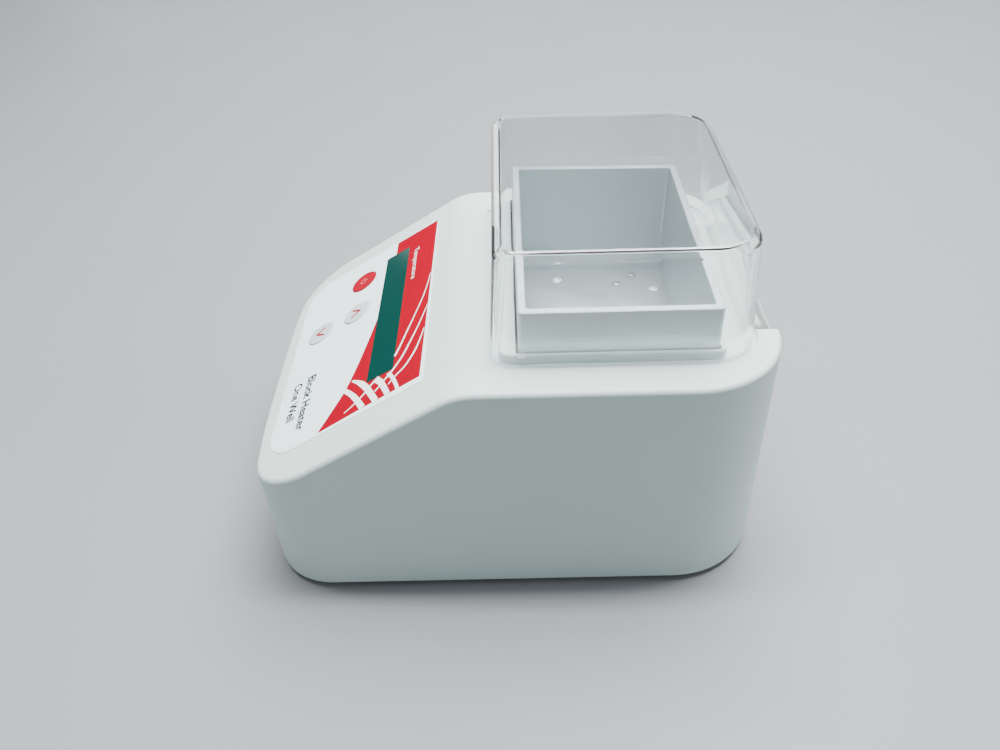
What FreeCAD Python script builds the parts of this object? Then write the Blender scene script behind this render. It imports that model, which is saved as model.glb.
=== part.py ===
import FreeCAD, Part
import math
import os
import Sketcher

# Dry block heater: a small bench instrument with one heated well under a
# hinged clear cover and a sloping control panel.  All lengths are millimetres,
# +Z is up, +Y points to the back and +X to the right of the person using it.

V = FreeCAD.Vector

doc = FreeCAD.newDocument("dry_block_heater")
sheet = doc.addObject("Spreadsheet::Sheet", "dims")

DIMENSIONS = (
    # housing
    ("body_half_width", 75.8, "half the width over the side walls"),
    ("body_back", 101.6, "back face from the middle of the footprint"),
    ("body_front", 99.6, "bowed front face at its lower edge, ahead of the middle"),
    ("front_lean_deg", 2.6, "outward lean of the front face"),
    ("nose_front", 101.6, "foremost point, where the front face meets the nose"),
    ("front_bow_radius", 600, "plan radius of the front face"),
    ("rear_corner_radius", 36, "plan radius of the two rear corners"),
    ("front_corner_radius", 25, "plan radius of the two front corners"),
    ("body_bottom", 3, "lower edge of the walls above the table"),
    ("body_top", 99.8, "flat top above the table"),
    ("bend_front", 18, "where the top turns into the slope, ahead of the middle"),
    ("slope_deg", 31.35, "fall of the control panel"),
    ("bend_radius", 25, "rounding between top and slope"),
    ("nose_radius", 5, "rounding between slope and front"),
    ("nose_overrun", 0.2, "how far the nose rounding runs past the front face"),
    ("edge_radius", 2, "rounding of the upper edges"),
    ("wall", 2.5, "housing wall"),
    # heated well
    ("well_half_width", 55.84, "half the outer width of the well"),
    ("well_front", 4.4, "outer front face of the well"),
    ("well_back", 76.05, "outer back face of the well"),
    ("well_top", 120, "rim of the well"),
    ("well_floor", 70, "inner floor of the well"),
    ("well_wall", 2.95, "wall of the well"),
    ("well_base", 3, "thickness of the floor of the well"),
    ("well_corner", 1.5, "rounding of the upright edges of the well"),
    ("head_radius", 2.1, "domed screw heads in the floor of the well"),
    ("head_height", 1, "screw heads above the floor of the well"),
    ("well_gap", 0.5, "gap between the well and the collar"),
    ("well_front_gap", 0.9, "wider gap ahead of the well"),
    # collar and cover seat on the housing
    ("collar_half_width", 57.1, "half the width of the collar round the well"),
    ("collar_front", 2.3, "front of the collar, ahead of the middle"),
    ("collar_back", 78.6, "back of the collar"),
    ("collar_front_corner", 4, "plan radius of the front corners of the collar"),
    ("collar_rear_corner", 3, "plan radius of the back corners of the collar"),
    ("collar_top", 103.1, "top of the collar"),
    ("seat_depth", 0.8, "depth of the seat the cover stands in"),
    ("seat_margin", 1.6, "how far the seat runs past the cover"),
    # clear cover
    ("cover_half_width", 60, "half the width of the cover at the bottom"),
    ("cover_front", 6.2, "front of the cover at the bottom, ahead of the middle"),
    ("cover_back", 90.8, "back of the cover at the bottom"),
    ("cover_top", 144.3, "top of the cover"),
    ("cover_draft_side", 0.6, "side draft over the height"),
    ("cover_draft_front", 2.3, "front draft over the height"),
    ("cover_draft_back", 3, "back draft over the height"),
    ("cover_wall", 2, "wall of the cover"),
    ("cover_front_corner", 8, "plan radius of the front corners"),
    ("cover_rear_corner", 17.5, "plan radius of the rear corners"),
    ("cover_edge", 3, "rounding of the top edge"),
    ("cover_lift", 0.1, "clearance under the closed cover"),
    # hinge
    ("hinge_back", 95.8, "hinge axis from the middle"),
    ("hinge_height", 97, "hinge axis above the table"),
    ("barrel_radius", 2.9, "barrel at the back of the cover"),
    ("tongue_half_width", 39.4, "half the width of the hinge tongue"),
    ("notch_half_width", 41, "half the width of the notch in the housing"),
    ("notch_front", 89.3, "front wall of the notch"),
    ("notch_floor", 92, "floor of the notch"),
    ("pin_radius", 1.25, "hinge pin"),
    ("pin_clearance", 0.07, "running clearance on the hinge pin"),
    # control panel, measured on the slope from the bend
    ("label_left", 63, "left edge of the printed overlay"),
    ("label_right", 57.5, "right edge of the printed overlay"),
    ("label_upper", 14.5, "upper edge of the overlay"),
    ("label_lower", 90.2, "lower edge of the overlay"),
    ("label_corner", 14, "lower corners of the overlay"),
    ("label_small_corner", 3, "upper corners of the overlay"),
    ("label_thick", 0.2, "thickness of the overlay"),
    ("window_left", 52, "left edge of the display window"),
    ("window_right", 40, "right edge of the display window"),
    ("window_upper", 29.6, "upper edge of the display window"),
    ("window_lower", 42.5, "lower edge of the display window"),
    ("window_gap", 0.1, "gap round the display window"),
    ("key_radius", 6.7, "radius of a key"),
    ("key_gap", 0.3, "gap round a key"),
    ("key_rise", 0.35, "key face above the overlay"),
    ("key_travel", 0.5, "stroke of a key"),
    ("power_left", 43.7, "power key, to the left of the middle"),
    ("power_down", 55.2, "power key, down the slope"),
    ("up_left", 18.9, "up key, to the left of the middle"),
    ("up_down", 56, "up key, down the slope"),
    ("lower_left", 18.4, "down key, to the left of the middle"),
    ("lower_down", 76.3, "down key, down the slope"),
    ("panel_depth", 10, "upper face of the control board under the slope"),
    ("board_thick", 1.6, "thickness of a circuit board"),
    # base
    ("plate_gap", 0.4, "gap between base plate and housing"),
    ("plate_thick", 2, "thickness of the base plate"),
    ("foot_radius", 7.5, "rubber foot"),
    ("boss_radius", 4, "screw boss"),
    ("screw_radius", 1.5, "shank of a machine screw"),
    # rear connector
    ("bay_half_width", 20, "half the width of the recess round the inlet"),
    ("bay_low", 20, "lower edge of that recess"),
    ("bay_high", 44, "upper edge of that recess"),
    ("bay_depth", 4.5, "depth of that recess"),
    ("inlet_height", 32, "inlet axis above the table"),
    ("inlet_bore", 2.9, "radius of the inlet socket"),
    ("inlet_pin", 1.25, "radius of the centre pin"),
    # inside
    ("board_height", 12, "underside of the main board"),
    ("clamp_low", 64, "underside of the heater pressure plate"),
    ("jacket_low", 52, "underside of the insulation"),
)


class Size:
    """A number together with the sheet expression that drives it."""

    def __init__(self, number, text):
        self.number = float(number)
        self.text = text

    def __add__(self, other):
        other = size(other)
        return Size(self.number + other.number, "(%s + %s)" % (self.text, other.text))

    def __sub__(self, other):
        other = size(other)
        return Size(self.number - other.number, "(%s - %s)" % (self.text, other.text))

    def __mul__(self, other):
        other = size(other)
        return Size(self.number * other.number, "(%s * %s)" % (self.text, other.text))

    def __neg__(self):
        return Size(-self.number, "(0 - %s)" % self.text)


def size(x):
    if isinstance(x, Size):
        return x
    return Size(x, "%.4f" % x if x >= 0 else "(0 - %.4f)" % -x)


def number(x):
    return size(x).number


def root(x):
    return Size(math.sqrt(x.number), "sqrt(%s)" % x.text)


def sine(angle):
    return Size(math.sin(math.radians(angle.number)), "sin(%s * 1 deg)" % angle.text)


def cosine(angle):
    return Size(math.cos(math.radians(angle.number)), "cos(%s * 1 deg)" % angle.text)


def fill_sheet():
    sizes = {}
    for row, (alias, amount, note) in enumerate(DIMENSIONS, start=1):
        sheet.set("A%d" % row, alias)
        sheet.set("B%d" % row, "%g" % amount)
        sheet.set("C%d" % row, note)
        sheet.setAlias("B%d" % row, alias)
        sizes[alias] = Size(amount, "dims.%s" % alias)
    doc.recompute()
    return sizes


D = fill_sheet()
OUTPUT = []


def bind(item, prop, x):
    """Tie one property to the sheet; plain numbers stay as they were set."""
    if isinstance(x, Size):
        item.setExpression(prop, x.text)


# ---------------------------------------------------------------- sketching

def new_body(label, output=True):
    body = doc.addObject("PartDesign::Body", label)
    body.Label = label
    body.AllowCompound = True
    if output:
        OUTPUT.append(body)
    return body


def origin_plane(body, role):
    for item in body.Origin.OriginFeatures:
        if item.Role == role:
            return item
    raise ValueError(role)


def new_sketch(body, role="XY_Plane", height=0):
    """A sketch on one of the body's own planes, lifted along its normal."""
    sketch = body.newObject("Sketcher::SketchObject", body.Label + "_sketch")
    sketch.AttachmentSupport = [(origin_plane(body, role), "")]
    sketch.MapMode = "FlatFace"
    sketch.AttachmentOffset = FreeCAD.Placement(V(0, 0, number(height)), FreeCAD.Rotation())
    bind(sketch, "AttachmentOffset.Base.z", height)
    return sketch


def slope_sketch(body, height=0):
    """A sketch on the control panel: x right, y up the slope from the bend."""
    sketch = new_sketch(body)
    turn = FreeCAD.Rotation(V(1, 0, 0), number(D["slope_deg"]))
    along_y = -D["bend_front"] - sine(D["slope_deg"]) * height
    along_z = D["body_top"] + cosine(D["slope_deg"]) * height
    sketch.AttachmentOffset = FreeCAD.Placement(V(0, along_y.number, along_z.number), turn)
    bind(sketch, "AttachmentOffset.Base.y", along_y)
    bind(sketch, "AttachmentOffset.Base.z", along_z)
    sketch.setExpression("AttachmentOffset.Rotation.Angle", "dims.slope_deg * 1 deg")
    return sketch


def constrain(sketch, amount, *parts):
    index = sketch.addConstraint(Sketcher.Constraint(*parts, number(amount)))
    bind(sketch, "Constraints[%d]" % index, amount)


def pin_point(sketch, geometry, position, x, y):
    """Fix one point of a sketch at driven coordinates."""
    if number(x) == 0:
        sketch.addConstraint(Sketcher.Constraint("PointOnObject", geometry, position, -2))
    else:
        constrain(sketch, x, "DistanceX", -1, 1, geometry, position)
    if number(y) == 0:
        sketch.addConstraint(Sketcher.Constraint("PointOnObject", geometry, position, -1))
    else:
        constrain(sketch, y, "DistanceY", -1, 1, geometry, position)


def add_rectangle(sketch, x1, x2, y1, y2):
    add_outline(sketch, [(x1, y1), (x2, y1), (x2, y2), (x1, y2)])


def add_circle(sketch, x, y, radius):
    centre = V(number(x), number(y), 0)
    index = sketch.addGeometry(Part.Circle(centre, V(0, 0, 1), number(radius)), False)
    constrain(sketch, radius, "Radius", index)
    pin_point(sketch, index, 3, x, y)


def add_outline(sketch, points, arcs=None):
    """A closed outline; arcs maps an edge number to (middle point, radius)."""
    arcs = arcs or {}
    first = sketch.GeometryCount
    count = len(points)
    flat = [V(number(x), number(y), 0) for x, y in points]
    for i in range(count):
        start = flat[i]
        end = flat[(i + 1) % count]
        if i in arcs:
            middle = arcs[i][0]
            curve = Part.Arc(start, V(middle[0], middle[1], 0), end)
        else:
            curve = Part.LineSegment(start, end)
        sketch.addGeometry(curve, False)
    for i in range(count):
        following = (i + 1) % count
        here = end_position(sketch, first + i, flat[following])
        there = end_position(sketch, first + following, flat[following])
        sketch.addConstraint(Sketcher.Constraint("Coincident", first + i, here, first + following, there))
    for i in range(count):
        position = end_position(sketch, first + i, flat[i])
        pin_point(sketch, first + i, position, points[i][0], points[i][1])
    for i, (middle, radius) in arcs.items():
        constrain(sketch, radius, "Radius", first + i)


def end_position(sketch, geometry, point):
    """1 or 2, whichever end of the curve lies on the point."""
    start = sketch.getPoint(geometry, 1)
    end = sketch.getPoint(geometry, 2)
    return 1 if start.distanceToPoint(point) <= end.distanceToPoint(point) else 2


# ----------------------------------------------------------------- features

def pad(body, sketch, length, both=False):
    feature = body.newObject("PartDesign::Pad", body.Label + "_pad")
    feature.Profile = sketch
    feature.Length = number(length)
    bind(feature, "Length", length)
    feature.Midplane = both
    body.Tip = feature
    return feature


def pocket(body, sketch, length, both=False, reverse=False):
    """Cut, and stop the build if the cut misses."""
    doc.recompute()
    before = body.Shape.Volume
    feature = body.newObject("PartDesign::Pocket", body.Label + "_pocket")
    feature.Profile = sketch
    feature.Length = number(length)
    bind(feature, "Length", length)
    feature.Midplane = both
    feature.Reversed = reverse
    body.Tip = feature
    doc.recompute()
    if body.Shape.Volume >= before - 1e-6:
        raise RuntimeError("cut missed in " + body.Label)
    return feature


def dress(body, kind, test, amount):
    """Fillet or Chamfer every edge of the tip that passes the test."""
    doc.recompute()
    base = body.Tip
    names = [
        "Edge%d" % (i + 1)
        for i, edge in enumerate(base.Shape.Edges)
        if test(edge)
    ]
    if not names:
        raise RuntimeError("no edges in " + body.Label)
    feature = body.newObject("PartDesign::" + kind, body.Label + "_" + kind.lower())
    feature.Base = (base, names)
    prop = "Radius" if kind == "Fillet" else "Size"
    setattr(feature, prop, number(amount))
    bind(feature, prop, amount)
    body.Tip = feature
    doc.recompute()
    return feature


def block(label, x, y, z, output=True):
    """A body padded from one rectangle; x, y and z are (low, high) pairs."""
    body = new_body(label, output)
    sketch = new_sketch(body, height=z[0])
    add_rectangle(sketch, x[0], x[1], y[0], y[1])
    pad(body, sketch, size(z[1]) - z[0])
    return body


def add_block(body, x, y, z):
    sketch = new_sketch(body, height=z[0])
    add_rectangle(sketch, x[0], x[1], y[0], y[1])
    return pad(body, sketch, size(z[1]) - z[0])


def cut_block(body, x, y, z):
    sketch = new_sketch(body, height=z[1])
    add_rectangle(sketch, x[0], x[1], y[0], y[1])
    return pocket(body, sketch, size(z[1]) - z[0])


def add_discs(body, centres, radius, z):
    sketch = new_sketch(body, height=z[0])
    for x, y in centres:
        add_circle(sketch, x, y, radius)
    return pad(body, sketch, size(z[1]) - z[0])


def cut_discs(body, centres, radius, z):
    sketch = new_sketch(body, height=z[1])
    for x, y in centres:
        add_circle(sketch, x, y, radius)
    return pocket(body, sketch, size(z[1]) - z[0])


def discs(label, centres, radius, z):
    body = new_body(label)
    add_discs(body, centres, radius, z)
    return body


def upright(edge):
    """A straight edge parallel to Z."""
    if len(edge.Vertexes) != 2 or not isinstance(edge.Curve, Part.Line):
        return False
    return abs(edge.Curve.Direction.z) > 0.999


def level_at(height):
    """Edges that lie flat at one height."""
    def test(edge):
        middle = edge.valueAt((edge.FirstParameter + edge.LastParameter) / 2)
        points = [middle] + [corner.Point for corner in edge.Vertexes]
        return all(abs(point.z - height) < 1e-3 for point in points)
    return test


def screws(label, centres, head_radius, head, shank_radius, shank, socket, down=True):
    """A group of equal screws; the socket is cut in the outer end of the head."""
    body = new_body(label)
    add_discs(body, centres, head_radius, head)
    add_discs(body, centres, shank_radius, shank)
    if down:
        cut_discs(body, centres, socket, (size(head[1]) - 1, head[1]))
    else:
        sketch = new_sketch(body, height=head[0])
        for x, y in centres:
            add_circle(sketch, x, y, socket)
        pocket(body, sketch, 1, reverse=True)
    return body


def on_panel(body):
    """Move a part modelled flat onto the slope, its origin at the bend."""
    turn = FreeCAD.Rotation(V(1, 0, 0), number(D["slope_deg"]))
    body.Placement = FreeCAD.Placement(V(0, -number(D["bend_front"]), number(D["body_top"])), turn)
    body.setExpression("Placement.Base.y", "0 - dims.bend_front")
    body.setExpression("Placement.Base.z", "dims.body_top")
    body.setExpression("Placement.Rotation.Angle", "dims.slope_deg * 1 deg")


# ------------------------------------------------------------- housing shell

def plan_block(body, inset, low, height, lean=False):
    """The footprint with its bowed front and rounded corners, padded upwards."""
    half = D["body_half_width"] - inset
    back = D["body_back"] - inset
    bow = D["front_bow_radius"] - inset
    mid_front = -D["body_front"] + inset
    corner_front = mid_front + bow - root(bow * bow - half * half)
    sketch = new_sketch(body, height=low)
    outline = [(-half, corner_front), (half, corner_front), (half, back), (-half, back)]
    add_outline(sketch, outline, {0: ((0, mid_front.number), bow)})
    pad(body, sketch, height)
    if lean:
        lean_front(body)
    outer = half.number - 1

    def corner(edge):
        return edge.BoundBox.ZLength > 0.9 * edge.Length and abs(edge.CenterOfMass.x) > outer

    dress(body, "Fillet", lambda e: corner(e) and e.CenterOfMass.y > 0, D["rear_corner_radius"] - inset)
    dress(body, "Fillet", lambda e: corner(e) and e.CenterOfMass.y < -80, D["front_corner_radius"] - inset)


def lean_front(body):
    """Lean the bowed front face outwards about its lower edge."""
    doc.recompute()
    base = body.Tip
    names = {}
    for i, face in enumerate(base.Shape.Faces, start=1):
        box = face.BoundBox
        if box.YMax < -80 and box.XLength > 100:
            names["front"] = "Face%d" % i
        if box.ZLength < 1e-6 and abs(box.ZMin - D["body_bottom"].number) < 1e-6:
            names["bottom"] = "Face%d" % i
    draft = body.newObject("PartDesign::Draft", "front_lean")
    draft.Base = (base, [names["front"]])
    draft.NeutralPlane = (base, [names["bottom"]])
    bind(draft, "Angle", D["front_lean_deg"])
    draft.Reversed = True
    doc.recompute()


def housing_form(label, inset, output):
    """The outer form of the housing, or the same form set in by a wall."""
    body = new_body(label, output)
    low = D["body_bottom"]
    plan_block(body, inset, low, D["body_top"] - inset - low, lean=True)
    cut_slope(body, inset)
    bend_y = -D["bend_front"].number

    def at_bend(edge):
        box = edge.BoundBox
        return box.XLength > 100 and box.YLength < 0.01 and abs(box.YMin - bend_y) < 8 and box.ZMin > 80

    dress(body, "Fillet", at_bend, D["bend_radius"] - inset)
    return body


def cut_slope(body, inset):
    """Take away everything above the slope and ahead of the nose rounding."""
    angle = D["slope_deg"]
    rise = sine(angle)
    run = cosine(angle)
    # a point on the slope line after moving it in along its normal
    line_y = -D["bend_front"] + rise * inset
    line_z = D["body_top"] - run * inset
    # the top is lower by the inset too, so the bend slides along the slope
    radius = D["nose_radius"] - inset
    lead_y = -D["nose_front"] - D["nose_overrun"] + inset
    centre_y = lead_y + radius
    touch_y = centre_y - rise * radius
    fall = math.tan(math.radians(angle.number))
    tangent = Size(fall, "tan(%s * 1 deg)" % angle.text)
    touch_z = line_z + (touch_y - line_y) * tangent
    centre_z = touch_z - run * radius
    over_z = D["body_top"] + 12
    over_y = line_y + (over_z - line_z) * Size(1 / fall, "(1 / tan(%s * 1 deg))" % angle.text)
    sketch = new_sketch(body, "YZ_Plane")
    points = [
        (-D["nose_front"] - 12, centre_z),
        (lead_y, centre_z),
        (touch_y, touch_z),
        (over_y, over_z),
        (-D["nose_front"] - 12, over_z),
    ]
    bearing = math.radians(180 - (90 - angle.number) / 2)
    middle = (centre_y.number + radius.number * math.cos(bearing),
              centre_z.number + radius.number * math.sin(bearing))
    add_outline(sketch, points, {1: (middle, radius)})
    pocket(body, sketch, D["body_half_width"] * 2 + 20, both=True)


def upper_edge(edge):
    """Edges where a wall of the housing turns into the top, slope or nose."""
    box = edge.BoundBox
    if box.ZMax < 40 or upright(edge):
        return False
    point = edge.valueAt((edge.FirstParameter + edge.LastParameter) / 2)
    half = D["body_half_width"].number
    on_side = abs(abs(point.x) - half) < 1e-3
    at_front = point.y < -D["body_front"].number + 6 and box.ZMax < 60
    rim = abs(point.z - D["body_top"].number) < 1e-3 and box.ZLength < 1e-3 and point.y > 60
    corner = math.hypot(abs(point.x), point.y) > 95
    return on_side or at_front or rim or corner


def build_housing():
    shell = housing_form("housing_cover", size(0), True)
    dress(shell, "Fillet", upper_edge, D["edge_radius"])
    core = housing_form("housing_hollow", D["wall"], False)
    doc.recompute()
    hollow = shell.newObject("PartDesign::Boolean", "housing_hollowing")
    hollow.setObjects([core])
    hollow.Type = "Cut"
    shell.Tip = hollow
    doc.recompute()
    add_linings(shell)
    add_collar(shell)
    add_screw_bosses(shell)
    cut_cover_seat(shell)
    cut_well_opening(shell)
    cut_notch(shell)
    cut_panel(shell)
    cut_inlet_bay(shell)
    return shell


def add_linings(shell):
    """Material behind the hinge notch and the inlet recess, before both are cut."""
    wall = D["wall"]
    inner_back = D["body_back"] - 1
    reach = D["notch_half_width"] + wall + 3
    add_block(shell, (-reach, reach), (D["notch_front"] - wall, inner_back),
              (D["notch_floor"] - wall, D["body_top"] - 1))
    side = D["bay_half_width"] + wall
    bay_back = D["body_back"] - D["bay_depth"] - wall
    add_block(shell, (-side, side), (bay_back, inner_back),
              (D["bay_low"] - wall, D["bay_high"] + wall))


def add_collar(shell):
    """The raised frame that shields the gap round the well."""
    sketch = new_sketch(shell, height=D["body_top"] - 1)
    collar_outline(sketch)
    pad(shell, sketch, D["collar_top"] - D["body_top"] + 1)
    top = level_at(D["collar_top"].number)
    dress(shell, "Fillet", top, 0.8)
    # a small nib on each side keeps the cover centred
    for side in (-1, 1):
        outer = D["collar_half_width"] + 0.6
        inner = D["collar_half_width"] - 1
        span = (inner, outer) if side > 0 else (-outer, -inner)
        add_block(shell, span, (4.2, 7), (D["body_top"] - 1, D["collar_top"] - 0.8))


def screw_places():
    return [(x, y) for x in (-66, 66) for y in (-70, 60)]


def add_screw_bosses(shell):
    """Bosses for the base screws, each tied to the side wall by a rib."""
    low = D["body_bottom"] + D["plate_thick"]
    top = 44
    add_discs(shell, screw_places(), D["boss_radius"], (low, top))
    edge = D["body_half_width"] - 1
    for x, y in screw_places():
        span = (66, edge) if x > 0 else (-edge, -66)
        add_block(shell, span, (y - 1.5, y + 1.5), (low, top))
    cut_discs(shell, screw_places(), D["screw_radius"], (low, low + 14))
    # four posts under the slope carry the control board
    sketch = slope_sketch(shell, -D["panel_depth"])
    for x, y in board_places():
        add_circle(sketch, x, y, 3)
    pad(shell, sketch, D["panel_depth"] - 1)
    sketch = slope_sketch(shell, -D["panel_depth"])
    for x, y in board_places():
        add_circle(sketch, x, y, 1.1)
    pocket(shell, sketch, 6, reverse=True)


def board_places():
    """Screw places of the control board on the slope."""
    return [(x, y) for x in (-58, 50) for y in (-17, -84)]


def cover_outline(sketch, grow, height):
    """Plan of the cover at a height fraction (0 bottom, 1 top), grown all round."""
    half = D["cover_half_width"] - D["cover_draft_side"] * height + grow
    front = -D["cover_front"] + D["cover_draft_front"] * height - grow
    back = D["cover_back"] - D["cover_draft_back"] * height + grow
    small = D["cover_front_corner"] + grow
    large = D["cover_rear_corner"] + grow
    rounded_outline(sketch, half, front, back, small, large)


def rounded_outline(sketch, half, front, back, small, large):
    """A rectangle symmetrical about Y with small front and large back corners."""
    k = math.sqrt(0.5)
    points = [
        (-(half - small), front), (half - small, front),
        (half, front + small), (half, back - large),
        (half - large, back), (-(half - large), back),
        (-half, back - large), (-half, front + small),
    ]
    hs, fs = number(half - small), number(front + small)
    hl, bl = number(half - large), number(back - large)
    rs, rl = number(small), number(large)
    arcs = {
        1: ((hs + k * rs, fs - k * rs), small),
        3: ((hl + k * rl, bl + k * rl), large),
        5: ((-hl - k * rl, bl + k * rl), large),
        7: ((-hs - k * rs, fs - k * rs), small),
    }
    add_outline(sketch, points, arcs)


def collar_outline(sketch):
    """Plan of the collar."""
    rounded_outline(sketch, D["collar_half_width"], -D["collar_front"], D["collar_back"],
                    D["collar_front_corner"], D["collar_rear_corner"])


def cut_cover_seat(shell):
    """A shallow seat round the collar, in which the cover stands."""
    sketch = new_sketch(shell, height=D["body_top"] + 0.5)
    cover_outline(sketch, D["seat_margin"], 0)
    collar_outline(sketch)
    pocket(shell, sketch, D["seat_depth"] + 0.5)


def cut_well_opening(shell):
    gap = D["well_gap"]
    half = D["well_half_width"] + gap
    cut_block(shell, (-half, half), (D["well_front"] - D["well_front_gap"], D["well_back"] + gap),
              (D["body_top"] - 8, D["collar_top"] + 1))


def cut_notch(shell):
    """Notch for the hinge tongue, open to the back, with pin holes in its sides."""
    half = D["notch_half_width"]
    cut_block(shell, (-half, half), (D["notch_front"], D["body_back"] + 2),
              (D["notch_floor"], D["body_top"] + 2))
    sketch = new_sketch(shell, "YZ_Plane")
    add_circle(sketch, D["hinge_back"], D["hinge_height"], D["pin_radius"])
    pocket(shell, sketch, (half + 4) * 2, both=True)


def cut_panel(shell):
    """Openings under the overlay: display window and three keys."""
    gap = D["window_gap"] + 0.3
    sketch = slope_sketch(shell, size(1))
    add_rectangle(sketch, -D["window_left"] - gap, D["window_right"] + gap,
                  -D["window_lower"] - gap, -D["window_upper"] + gap)
    for x, y in key_places():
        add_circle(sketch, x, y, D["key_radius"] + D["key_gap"])
    pocket(shell, sketch, D["wall"] + 2)


def key_places():
    return [
        (-D["power_left"], -D["power_down"]),
        (-D["up_left"], -D["up_down"]),
        (-D["lower_left"], -D["lower_down"]),
    ]


def cut_inlet_bay(shell):
    half = D["bay_half_width"]
    cut_block(shell, (-half, half), (D["body_back"] - D["bay_depth"], D["body_back"] + 2),
              (D["bay_low"], D["bay_high"]))
    sketch = new_sketch(shell, "XZ_Plane", -D["body_back"])
    add_circle(sketch, 0, D["inlet_height"], 6)
    pocket(shell, sketch, D["bay_depth"] + D["wall"] + 2, reverse=True)


# -------------------------------------------------------------------- cover

def cover_form(label, inset, output):
    """The drafted outer form of the cover, or the same form set in by its wall."""
    body = new_body(label, output)
    low = D["body_top"] - D["seat_depth"] + D["cover_lift"]
    top = D["cover_top"] - inset
    half = D["cover_half_width"] - inset
    front = -D["cover_front"] + inset
    back = D["cover_back"] - inset
    sketch = new_sketch(body, "YZ_Plane")
    add_outline(sketch, [
        (front, low), (back, low),
        (back - D["cover_draft_back"], top), (front + D["cover_draft_front"], top),
    ])
    pad(body, sketch, half * 2, both=True)
    sketch = new_sketch(body, "XZ_Plane")
    for side in (1, -1):
        add_outline(sketch, [
            (half * side, low),
            ((half + 5) * side, low),
            ((half + 5) * side, top + 5),
            ((half - D["cover_draft_side"] * 1.11) * side, top + 5),
        ])
    pocket(body, sketch, 300, both=True)
    edge_x = half.number

    def corner(edge):
        box = edge.BoundBox
        return box.ZLength > 0.9 * edge.Length and abs(abs(edge.CenterOfMass.x) - edge_x) < 0.8

    dress(body, "Fillet", lambda e: corner(e) and e.CenterOfMass.y < 0, D["cover_front_corner"] - inset)
    dress(body, "Fillet", lambda e: corner(e) and e.CenterOfMass.y > 60, D["cover_rear_corner"] - inset)
    edge_radius = D["cover_edge"] - inset * 0.5
    dress(body, "Fillet", level_at(top.number), edge_radius)
    return body


def build_cover():
    """Clear cover with a sloping tongue at the back that ends in the hinge barrel."""
    body = cover_form("lid_cover", size(0), True)
    add_tongue(body)
    core = cover_form("cover_hollow", D["cover_wall"], False)
    hollow = body.newObject("PartDesign::Boolean", "cover_hollowing")
    hollow.setObjects([core])
    hollow.Type = "Cut"
    body.Tip = hollow
    doc.recompute()
    return body


def add_tongue(body):
    axis_y = D["hinge_back"]
    axis_z = D["hinge_height"]
    radius = D["barrel_radius"]
    half = D["tongue_half_width"]
    low = D["body_top"] - D["seat_depth"] + D["cover_lift"]
    sketch = new_sketch(body, "YZ_Plane")
    points = [
        (axis_y - 5.4, axis_z - 1.6),
        (axis_y, axis_z - radius),
        (axis_y + radius, axis_z),
        (D["cover_back"] - 0.8, low + 14),
        (D["cover_back"] - 3, low + 14),
        (D["cover_back"] - 2, low),
        (axis_y - 5.4, low),
    ]
    k = math.sqrt(0.5) * radius.number
    middle = (axis_y.number + k, axis_z.number - k)
    add_outline(sketch, points, {1: (middle, radius)})
    pad(body, sketch, half * 2, both=True)
    for side in (1, -1):
        cut = new_sketch(body, "YZ_Plane", D["tongue_half_width"] * side)
        add_circle(cut, axis_y, axis_z, D["pin_radius"] + D["pin_clearance"])
        pocket(body, cut, 6, reverse=side < 0)


def build_pins():
    """Two short pins pressed into the sides of the notch."""
    body = new_body("hinge_pins")
    for side in (1, -1):
        sketch = new_sketch(body, "YZ_Plane", (D["notch_half_width"] + 4) * side)
        add_circle(sketch, D["hinge_back"], D["hinge_height"], D["pin_radius"])
        feature = pad(body, sketch, 10)
        feature.Reversed = side > 0
    return body


# --------------------------------------------------------------------- well

def standoff_places():
    return [(-42.8, 24.1), (42.8, 24.1), (-33.6, 67.4), (33.6, 67.4)]


def clip_places():
    return [(-39.1, 51.2), (-46.2, 58.7)]


def build_well():
    half = D["well_half_width"]
    wall = D["well_wall"]
    body = block("block_well", (-half, half), (D["well_front"], D["well_back"]),
                 (D["well_floor"] - D["well_base"], D["well_top"]))
    dress(body, "Fillet", upright, D["well_corner"])
    inner = half - wall
    cut_block(body, (-inner, inner), (D["well_front"] + wall, D["well_back"] - wall),
              (D["well_floor"], D["well_top"] + 1))
    edge_x = inner.number
    dress(body, "Fillet", lambda e: upright(e) and abs(abs(e.CenterOfMass.x) - edge_x) < 0.01, 1.2)
    dress(body, "Chamfer", level_at(D["well_top"].number), 0.3)
    cut_discs(body, standoff_places(), 1.55, (D["well_floor"] - D["well_base"] - 1, D["well_floor"] + 1))
    cut_discs(body, standoff_places(), 2.3, (D["well_floor"] - 1.2, D["well_floor"] + 1))
    cut_discs(body, clip_places(), 1.3, (D["well_floor"] - D["well_base"] - 1, D["well_floor"] + 1))
    cut_discs(body, clip_places(), 2.3, (D["well_floor"] - 1.2, D["well_floor"] + 1))
    return body


def build_well_fixings():
    floor = D["well_floor"]
    top = floor + D["head_height"]
    radius = D["head_radius"]
    outer = screws("well_floor_screws", standoff_places(), radius, (floor - 1.2, top),
                   D["screw_radius"], (floor - 14, floor - 1.2), 0.8)
    inner = screws("sensor_clip_screws", clip_places(), radius, (floor - 1.2, top),
                   1.25, (floor - 6, floor - 1.2), 0.8)
    at_top = level_at(top.number)
    for body in (outer, inner):
        dress(body, "Fillet", lambda e: at_top(e) and e.Length > 2 * math.pi * 1.5, 0.85)
    low = D["body_bottom"] + D["plate_thick"]
    body = discs("well_standoffs", standoff_places(), 3.5, (low, D["clamp_low"]))
    cut_discs(body, standoff_places(), D["screw_radius"], (D["clamp_low"] - 10, D["clamp_low"] + 1))


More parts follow.
